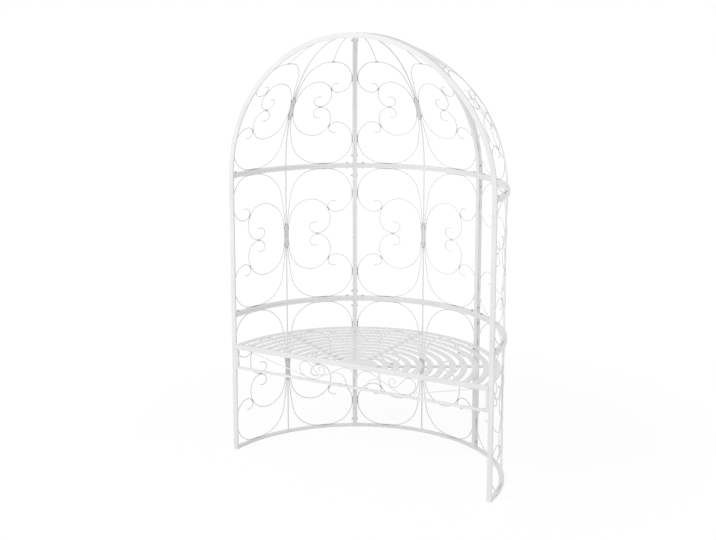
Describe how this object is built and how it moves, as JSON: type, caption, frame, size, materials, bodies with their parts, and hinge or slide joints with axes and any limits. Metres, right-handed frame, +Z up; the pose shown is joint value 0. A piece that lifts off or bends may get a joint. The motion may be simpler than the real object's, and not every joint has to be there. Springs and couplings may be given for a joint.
{
  "type": "garden pavilion with bench",
  "caption": "Half-round garden arbour of white powder-coated steel: tube-framed scrollwork panels under a half dome, with a built-in half-round slatted bench and scrolled apron.",
  "frame": {"origin": "on the ground, below the middle of the footprint's bounding box", "axes": "+Z up; the open side with the bench's front rail faces -Y; X runs along that rail, +X on the right of someone who looks in"},
  "size_m": [1.424, 0.7119, 2.112],
  "materials": {
    "frame": "satin powder coat",
    "scrollwork": "satin powder coat",
    "bench": "satin powder coat",
    "fasteners": "zinc plated"
  },
  "bodies": {
    "root": {"apron_left_upright": "bench", "apron_lower_bar": "bench", "apron_right_upright": "bench", "apron_scrolls": "scrollwork", "bench_bolts": "fasteners", "dome_back_left_rib": "frame", "dome_back_rail": "frame", "dome_back_right_rib": "frame", "dome_back_scrolls": "scrollwork", "dome_left_front_rib": "frame", "dome_left_rail": "frame", "dome_left_rear_rib": "frame", "dome_left_scrolls": "scrollwork", "dome_right_front_rib": "frame", "dome_right_rail": "frame", "dome_right_rear_rib": "frame", "dome_right_scrolls": "scrollwork", "lower_back_bottom_rail": "frame", "lower_back_left_stile": "frame", "lower_back_right_stile": "frame", "lower_back_scrolls": "scrollwork", "lower_back_top_rail": "frame", "lower_left_bottom_rail": "frame", "lower_left_front_stile": "frame", "lower_left_rear_stile": "frame", "lower_left_scrolls": "scrollwork", "lower_left_top_rail": "frame", "lower_right_bottom_rail": "frame", "lower_right_front_stile": "frame", "lower_right_rear_stile": "frame", "lower_right_scrolls": "scrollwork", "lower_right_top_rail": "frame", "post_bolts": "fasteners", "post_nuts": "fasteners", "rail_bolts": "fasteners", "rail_nuts": "fasteners", "seat_bracket_left": "bench", "seat_bracket_right": "bench", "seat_centre_plate": "bench", "seat_front_rail": "bench", "seat_rim": "bench", "seat_slats": "bench", "seat_support_bars": "bench", "upper_back_bottom_rail": "frame", "upper_back_left_stile": "frame", "upper_back_right_stile": "frame", "upper_back_scrolls": "scrollwork", "upper_back_top_rail": "frame", "upper_left_bottom_rail": "frame", "upper_left_front_stile": "frame", "upper_left_rear_stile": "frame", "upper_left_scrolls": "scrollwork", "upper_left_top_rail": "frame", "upper_right_bottom_rail": "frame", "upper_right_front_stile": "frame", "upper_right_rear_stile": "frame", "upper_right_scrolls": "scrollwork", "upper_right_top_rail": "frame"}
  },
  "joints": []
}
